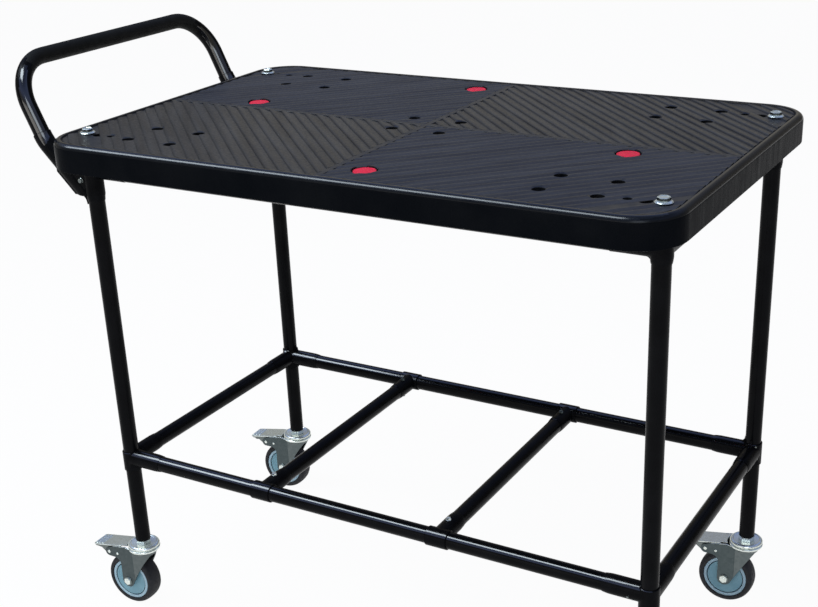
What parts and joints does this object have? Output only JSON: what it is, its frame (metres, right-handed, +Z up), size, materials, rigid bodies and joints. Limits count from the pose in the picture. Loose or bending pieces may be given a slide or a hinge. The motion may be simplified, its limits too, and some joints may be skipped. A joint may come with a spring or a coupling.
{
  "type": "workbench cart",
  "caption": "Rolling workbench cart with a ribbed black plastic deck on a clamped black pipe frame, a leaning push handle and swivel casters with brakes.",
  "frame": {"origin": "centre of the overall box on the floor under the wheels", "axes": "+X along the cart away from the push handle, +Y to the back, +Z up"},
  "size_m": [1.2208, 0.682, 1.0426],
  "materials": {
    "deck": "moulded black plastic with raised diagonal anti-slip ribs, satin skirt",
    "plug": "bright red moulded plastic",
    "pipe": "smooth black coated steel pipe",
    "joint": "black pressed steel sleeves, slightly duller than the pipe",
    "zinc": "bright zinc plated steel",
    "tyre": "dark rubber tread",
    "hub": "blue grey plastic disc"
  },
  "bodies": {
    "frame": {"deck_panel": "deck", "red_plug_left": "plug", "red_plug_right": "plug", "red_plug_front": "plug", "red_plug_back": "plug", "leg_front_left": "pipe", "upper_joint_front_left": "joint", "lower_joint_front_left": "joint", "deck_bolt_front_left": "zinc", "leg_front_right": "pipe", "upper_joint_front_right": "joint", "lower_joint_front_right": "joint", "deck_bolt_front_right": "zinc", "leg_back_left": "pipe", "upper_joint_back_left": "joint", "lower_joint_back_left": "joint", "deck_bolt_back_left": "zinc", "leg_back_right": "pipe", "upper_joint_back_right": "joint", "lower_joint_back_right": "joint", "deck_bolt_back_right": "zinc", "upper_rail_front": "pipe", "upper_rail_back": "pipe", "upper_rail_left": "pipe", "upper_rail_right": "pipe", "lower_rail_front": "pipe", "lower_rail_back": "pipe", "lower_rail_left": "pipe", "lower_rail_right": "pipe", "cross_bar_left": "pipe", "tee_joint_front_left": "joint", "tee_joint_back_left": "joint", "cross_bar_right": "pipe", "tee_joint_front_right": "joint", "tee_joint_back_right": "joint", "push_handle": "pipe", "caster_stem_front_left": "zinc", "caster_stem_front_right": "zinc", "caster_stem_back_left": "zinc", "caster_stem_back_right": "zinc"},
    "fork_front_left": {"caster_fork_front_left": "zinc", "caster_axle_front_left": "zinc"},
    "wheel_front_left": {"caster_tyre_front_left": "tyre", "caster_hub_front_left": "hub"},
    "pedal_front_left": {"brake_pedal_front_left": "zinc"},
    "fork_front_right": {"caster_fork_front_right": "zinc", "caster_axle_front_right": "zinc"},
    "wheel_front_right": {"caster_tyre_front_right": "tyre", "caster_hub_front_right": "hub"},
    "pedal_front_right": {"brake_pedal_front_right": "zinc"},
    "fork_back_left": {"caster_fork_back_left": "zinc", "caster_axle_back_left": "zinc"},
    "wheel_back_left": {"caster_tyre_back_left": "tyre", "caster_hub_back_left": "hub"},
    "pedal_back_left": {"brake_pedal_back_left": "zinc"},
    "fork_back_right": {"caster_fork_back_right": "zinc", "caster_axle_back_right": "zinc"},
    "wheel_back_right": {"caster_tyre_back_right": "tyre", "caster_hub_back_right": "hub"},
    "pedal_back_right": {"brake_pedal_back_right": "zinc"}
  },
  "joints": [
    {"name": "swivel_front_left", "type": "hinge", "parent": "frame", "child": "fork_front_left", "pos_m": [-0.4376, -0.256, 0.1284], "axis": [0, 0, 1], "continuous": true},
    {"name": "roll_front_left", "type": "hinge", "parent": "fork_front_left", "child": "wheel_front_left", "pos_m": [-0.46956, -0.25712, 0.05167], "axis": [0.0349, -0.9994, 0], "continuous": true},
    {"name": "brake_front_left", "type": "hinge", "parent": "fork_front_left", "child": "pedal_front_left", "pos_m": [-0.50754, -0.25844, 0.1077], "axis": [0.0349, -0.9994, 0], "range_deg": [0, 12]},
    {"name": "swivel_front_right", "type": "hinge", "parent": "frame", "child": "fork_front_right", "pos_m": [0.5704, -0.256, 0.1284], "axis": [0, 0, 1], "continuous": true},
    {"name": "roll_front_right", "type": "hinge", "parent": "fork_front_right", "child": "wheel_front_right", "pos_m": [0.53859, -0.25934, 0.05167], "axis": [0.1045, -0.9945, 0], "continuous": true},
    {"name": "brake_front_right", "type": "hinge", "parent": "fork_front_right", "child": "pedal_front_right", "pos_m": [0.5008, -0.26332, 0.1077], "axis": [0.1045, -0.9945, 0], "range_deg": [0, 12]},
    {"name": "swivel_back_left", "type": "hinge", "parent": "frame", "child": "fork_back_left", "pos_m": [-0.4376, 0.256, 0.1284], "axis": [0, 0, 1], "continuous": true},
    {"name": "roll_back_left", "type": "hinge", "parent": "fork_back_left", "child": "wheel_back_left", "pos_m": [-0.46951, 0.25377, 0.05167], "axis": [0.0698, -0.9976, 0], "continuous": true},
    {"name": "brake_back_left", "type": "hinge", "parent": "fork_back_left", "child": "pedal_back_left", "pos_m": [-0.50741, 0.25112, 0.1077], "axis": [0.0698, -0.9976, 0], "range_deg": [0, 12]},
    {"name": "swivel_back_right", "type": "hinge", "parent": "frame", "child": "fork_back_right", "pos_m": [0.5704, 0.256, 0.1284], "axis": [0, 0, 1], "continuous": true},
    {"name": "roll_back_right", "type": "hinge", "parent": "fork_back_right", "child": "wheel_back_right", "pos_m": [0.53842, 0.25544, 0.05167], "axis": [0.0175, -0.9998, 0], "continuous": true},
    {"name": "brake_back_right", "type": "hinge", "parent": "fork_back_right", "child": "pedal_back_right", "pos_m": [0.50043, 0.25478, 0.1077], "axis": [0.0175, -0.9998, 0], "range_deg": [0, 12]}
  ]
}
